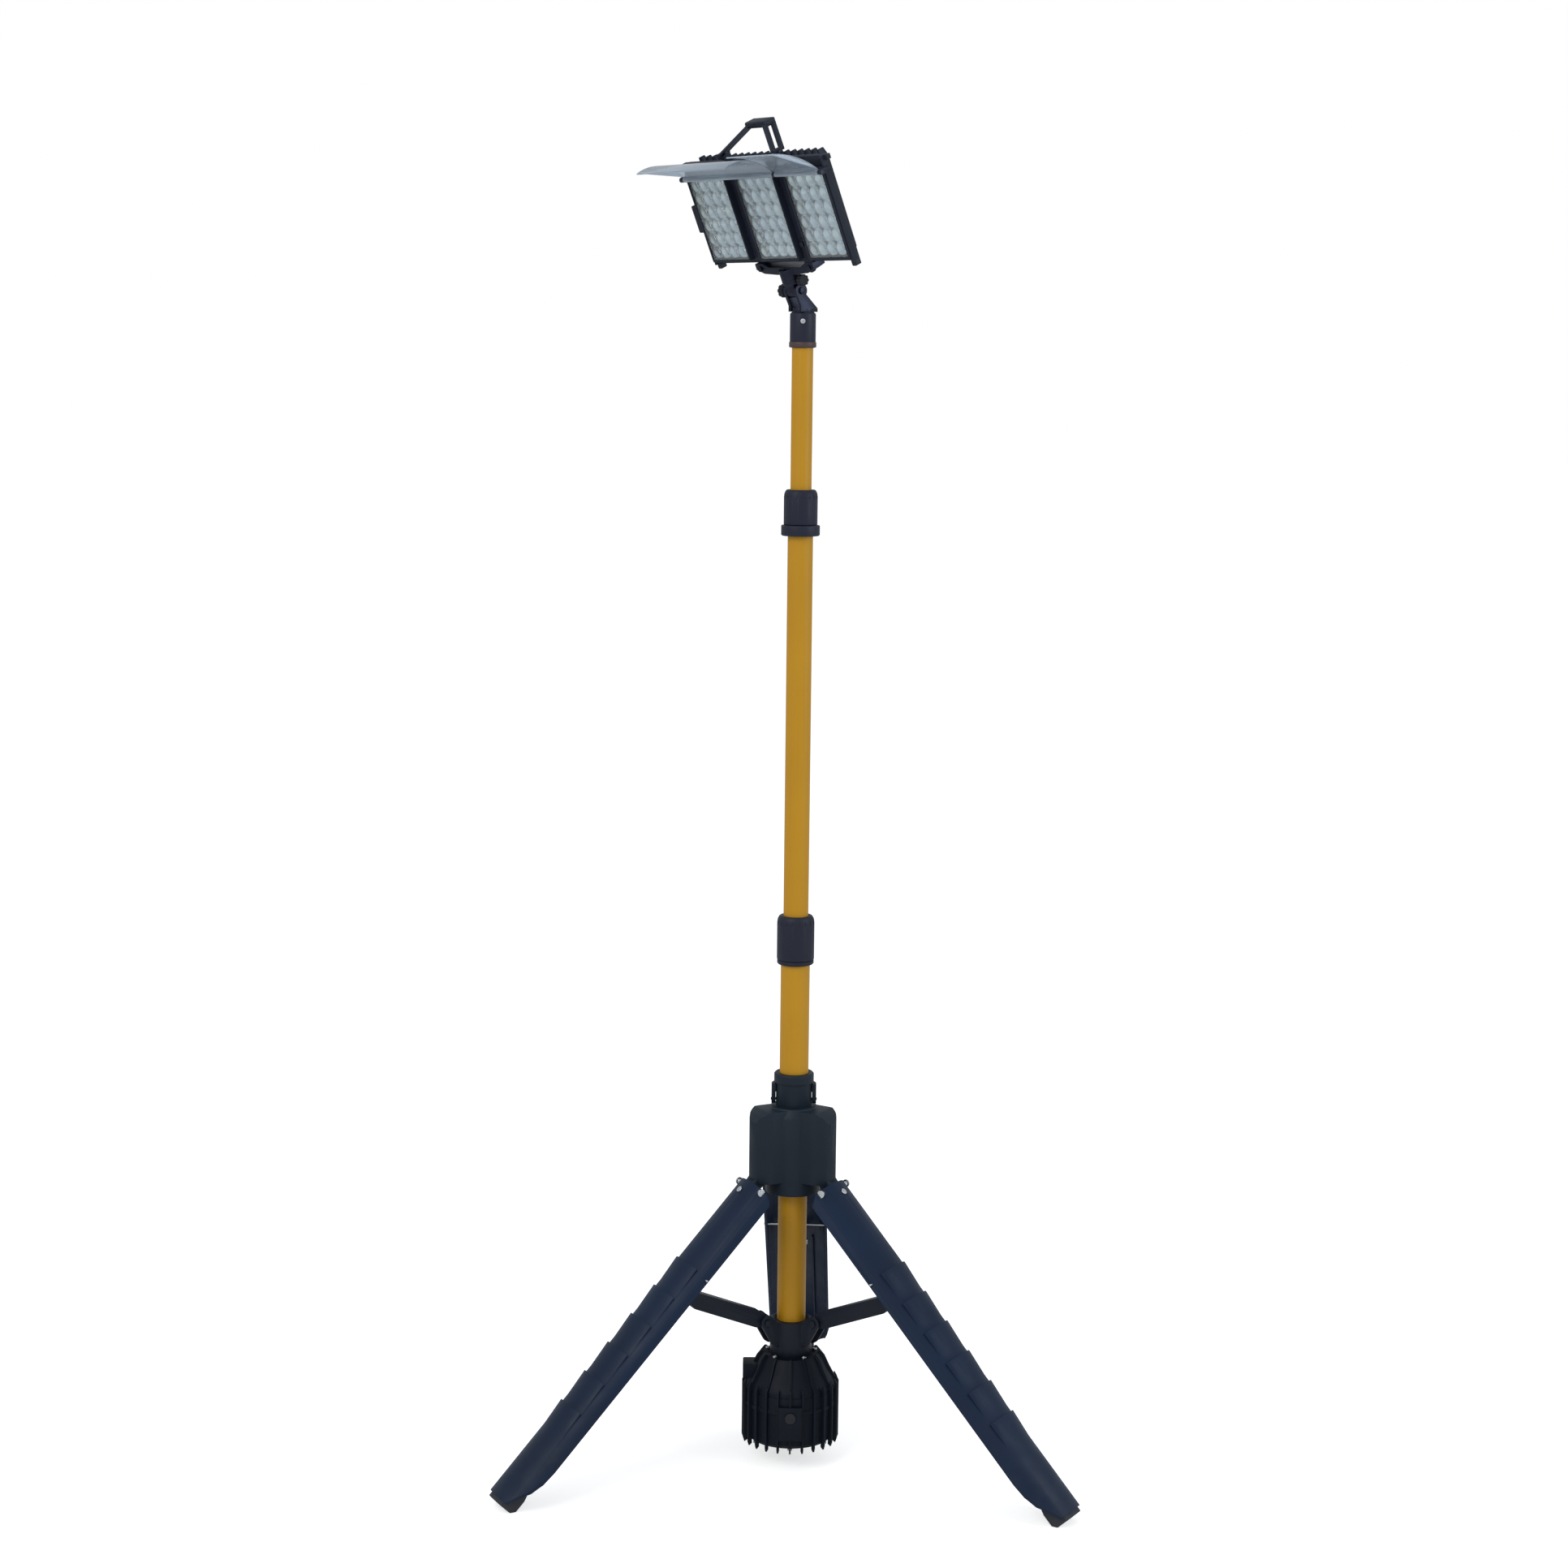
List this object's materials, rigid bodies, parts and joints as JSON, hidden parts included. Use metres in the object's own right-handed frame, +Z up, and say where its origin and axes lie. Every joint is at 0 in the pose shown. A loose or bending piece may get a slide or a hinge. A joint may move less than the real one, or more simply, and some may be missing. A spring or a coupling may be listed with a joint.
{
  "type": "tripod work light",
  "caption": "Floor-standing work light with a telescopic mast on folding tripod legs, a battery pod at the foot and a tilting flat lamp head with glare visors and a carry handle.",
  "frame": {"origin": "point on the floor under the mast axis, in the plane of the three foot pads", "axes": "+Z up along the mast, -Y towards the front of the stand, +X to the right of it"},
  "size_m": [0.8354, 0.745, 1.9377],
  "materials": {
    "tube_yellow": "satin powder coat",
    "collar_plastic": "fine moulded grain",
    "band_plastic": "satin",
    "guide_plastic": "smooth",
    "hub_plastic": "fine moulded grain",
    "leg_plastic": "satin moulded",
    "foot_rubber": "matt",
    "strut_metal": "satin black paint",
    "steel": "zinc plated",
    "pod_plastic": "fine moulded grain",
    "seal_rubber": "matt",
    "button_rubber": "matt",
    "inlet_plastic": "smooth",
    "cell_metal": "sleeved",
    "board_laminate": "solder mask",
    "lead_rubber": "matt",
    "neck_metal": "black anodised",
    "knob_plastic": "fluted, matt",
    "head_plastic": "fine moulded grain",
    "sink_metal": "black anodised",
    "lens_clear": "clear polycarbonate with moulded lens bumps",
    "visor_clear": "translucent polycarbonate"
  },
  "bodies": {
    "stand": {"lower_tube": "tube_yellow", "lower_collar_base": "collar_plastic", "lower_coil_lead": "lead_rubber", "lower_bracket": "strut_metal", "strut_pivot_pins": "strut_metal", "pod_housing": "pod_plastic", "pod_cover": "pod_plastic", "pod_gasket": "seal_rubber", "battery_cells": "cell_metal", "cell_holders": "inlet_plastic", "charge_board": "board_laminate", "pod_screws": "steel", "charge_inlet": "inlet_plastic"},
    "hub": {"hub_body": "hub_plastic", "hub_lock_sleeve": "hub_plastic"},
    "release_lever": {"hub_release_lever": "hub_plastic"},
    "lower_ring": {"lower_twist_ring": "collar_plastic"},
    "middle_mast": {"middle_tube": "tube_yellow", "middle_guide": "guide_plastic", "upper_collar_base": "collar_plastic", "upper_coil_lead": "lead_rubber"},
    "upper_ring": {"upper_twist_ring": "collar_plastic"},
    "top_mast": {"top_tube": "tube_yellow", "top_guide": "guide_plastic", "top_lead": "lead_rubber", "mast_socket": "collar_plastic", "socket_band": "band_plastic", "socket_screw": "steel", "neck_fork": "neck_metal", "tilt_bolt": "neck_metal"},
    "tilt_clamp": {"tilt_knob": "knob_plastic"},
    "knuckle": {"tilt_knuckle": "neck_metal"},
    "swivel_clamp": {"swivel_knob": "knob_plastic"},
    "head": {"head_yoke": "neck_metal", "head_frame": "head_plastic", "heat_sink": "sink_metal", "lens_covers": "lens_clear", "lens_seals": "seal_rubber", "led_boards": "board_laminate", "visor_hinge_rod": "neck_metal", "head_fasteners": "neck_metal"},
    "wide_visor": {"visor_wide": "visor_clear"},
    "narrow_visor": {"visor_narrow": "visor_clear"},
    "handle": {"carry_handle": "head_plastic"},
    "mode_key": {"mode_button": "button_rubber"},
    "dim_key": {"dim_button": "button_rubber"},
    "power_key": {"power_button": "button_rubber"},
    "cap": {"inlet_cap": "button_rubber"},
    "leg_1": {"leg_shell_1": "leg_plastic", "leg_foot_1": "foot_rubber", "leg_hardware_1": "steel"},
    "strut_link_1": {"strut_1": "strut_metal"},
    "leg_2": {"leg_shell_2": "leg_plastic", "leg_foot_2": "foot_rubber", "leg_hardware_2": "steel"},
    "strut_link_2": {"strut_2": "strut_metal"},
    "leg_3": {"leg_shell_3": "leg_plastic", "leg_foot_3": "foot_rubber", "leg_hardware_3": "steel"},
    "strut_link_3": {"strut_3": "strut_metal"}
  },
  "joints": [
    {"name": "fold", "type": "slide", "parent": "stand", "child": "hub", "axis": [0, 0, 1], "range_m": [0, 0.12639]},
    {"name": "leg_fold_1", "type": "hinge", "parent": "hub", "child": "leg_1", "pos_m": [0.05847, -0.03687, 0.41901], "axis": [0.5333, 0.8459, 0], "range_deg": [0, 40.35]},
    {"name": "strut_fold_1", "type": "hinge", "parent": "stand", "child": "strut_link_1", "pos_m": [0.03891, -0.02453, 0.215], "axis": [-0.5333, -0.8459, 0], "range_deg": [0, 61.5]},
    {"name": "leg_fold_2", "type": "hinge", "parent": "hub", "child": "leg_2", "pos_m": [0.00269, 0.06907, 0.41901], "axis": [-0.9992, 0.0389, 0], "range_deg": [0, 40.35]},
    {"name": "strut_fold_2", "type": "hinge", "parent": "stand", "child": "strut_link_2", "pos_m": [0.00179, 0.04596, 0.215], "axis": [0.9992, -0.0389, 0], "range_deg": [0, 61.5]},
    {"name": "leg_fold_3", "type": "hinge", "parent": "hub", "child": "leg_3", "pos_m": [-0.06116, -0.03221, 0.41901], "axis": [0.4659, -0.8848, 0], "range_deg": [0, 40.35]},
    {"name": "strut_fold_3", "type": "hinge", "parent": "stand", "child": "strut_link_3", "pos_m": [-0.0407, -0.02143, 0.215], "axis": [-0.4659, 0.8848, 0], "range_deg": [0, 61.5]},
    {"name": "lever_release", "type": "hinge", "parent": "hub", "child": "release_lever", "pos_m": [0, -0.0005, 0.544], "axis": [-1, 0, 0], "range_deg": [0, 22], "stiffness_Nm_per_rad": 0.4, "springref_deg": -11.46},
    {"name": "lower_ring_twist", "type": "hinge", "parent": "stand", "child": "lower_ring", "pos_m": [0, 0, 0.78], "axis": [0, 0, 1], "range_deg": [0, 120]},
    {"name": "middle_slide", "type": "slide", "parent": "stand", "child": "middle_mast", "axis": [0, 0, 1], "range_m": [-0.4, 0], "deforming": ["lower_coil_lead"]},
    {"name": "upper_ring_twist", "type": "hinge", "parent": "middle_mast", "child": "upper_ring", "pos_m": [0, 0, 1.395], "axis": [0, 0, 1], "range_deg": [0, 120]},
    {"name": "top_slide", "type": "slide", "parent": "middle_mast", "child": "top_mast", "axis": [0, 0, 1], "range_m": [-0.19, 0.2], "deforming": ["upper_coil_lead"]},
    {"name": "tilt", "type": "hinge", "parent": "top_mast", "child": "knuckle", "pos_m": [-0.01133, -0.00951, 1.70498], "axis": [0.6428, -0.766, 0], "range_deg": [-70, 56]},
    {"name": "tilt_knob_turn", "type": "hinge", "parent": "top_mast", "child": "tilt_clamp", "pos_m": [-0.01133, -0.00951, 1.70498], "axis": [0.6428, -0.766, 0], "range_deg": [0, 360]},
    {"name": "swivel_knob_turn", "type": "hinge", "parent": "knuckle", "child": "swivel_clamp", "pos_m": [-0.01615, -0.01356, 1.71914], "axis": [0.6428, -0.766, 0], "range_deg": [0, 360]},
    {"name": "swivel", "type": "hinge", "parent": "knuckle", "child": "head", "pos_m": [-0.01806, -0.01515, 1.72471], "axis": [-0.3116, -0.2614, 0.9135], "range_deg": [-75, 75]},
    {"name": "wide_visor_hinge", "type": "hinge", "parent": "head", "child": "wide_visor", "pos_m": [-0.07555, -0.0634, 1.8579], "axis": [0.6428, -0.766, 0], "range_deg": [-35, 113]},
    {"name": "narrow_visor_hinge", "type": "hinge", "parent": "head", "child": "narrow_visor", "pos_m": [-0.01128, -0.14, 1.8579], "axis": [0.6428, -0.766, 0], "range_deg": [-30, 122]},
    {"name": "handle_hinge", "type": "hinge", "parent": "head", "child": "handle", "pos_m": [-0.07421, -0.06227, 1.88714], "axis": [0.6428, -0.766, 0], "range_deg": [-22, 54]},
    {"name": "mode_press", "type": "slide", "parent": "head", "child": "mode_key", "axis": [0.6428, -0.766, 0], "range_m": [0, 0.0015], "stiffness_N_per_m": 500, "springref_m": -0.001},
    {"name": "dim_press", "type": "slide", "parent": "head", "child": "dim_key", "axis": [0.6428, -0.766, 0], "range_m": [0, 0.0015], "stiffness_N_per_m": 500, "springref_m": -0.001},
    {"name": "power_press", "type": "slide", "parent": "stand", "child": "power_key", "axis": [0, 1, 0], "range_m": [0, 0.0012], "stiffness_N_per_m": 700, "springref_m": -0.001},
    {"name": "inlet_cap_hinge", "type": "hinge", "parent": "stand", "child": "cap", "pos_m": [0, 0.079, 0.1], "axis": [1, 0, 0], "range_deg": [0, 80]}
  ],
  "couplings": [
    {"joint": "leg_fold_1", "follows": "fold", "rad_per_m": 5.5649},
    {"joint": "strut_fold_1", "follows": "fold", "rad_per_m": 8.4859},
    {"joint": "leg_fold_2", "follows": "fold", "rad_per_m": 5.5649},
    {"joint": "strut_fold_2", "follows": "fold", "rad_per_m": 8.4859},
    {"joint": "leg_fold_3", "follows": "fold", "rad_per_m": 5.5649},
    {"joint": "strut_fold_3", "follows": "fold", "rad_per_m": 8.4859}
  ]
}
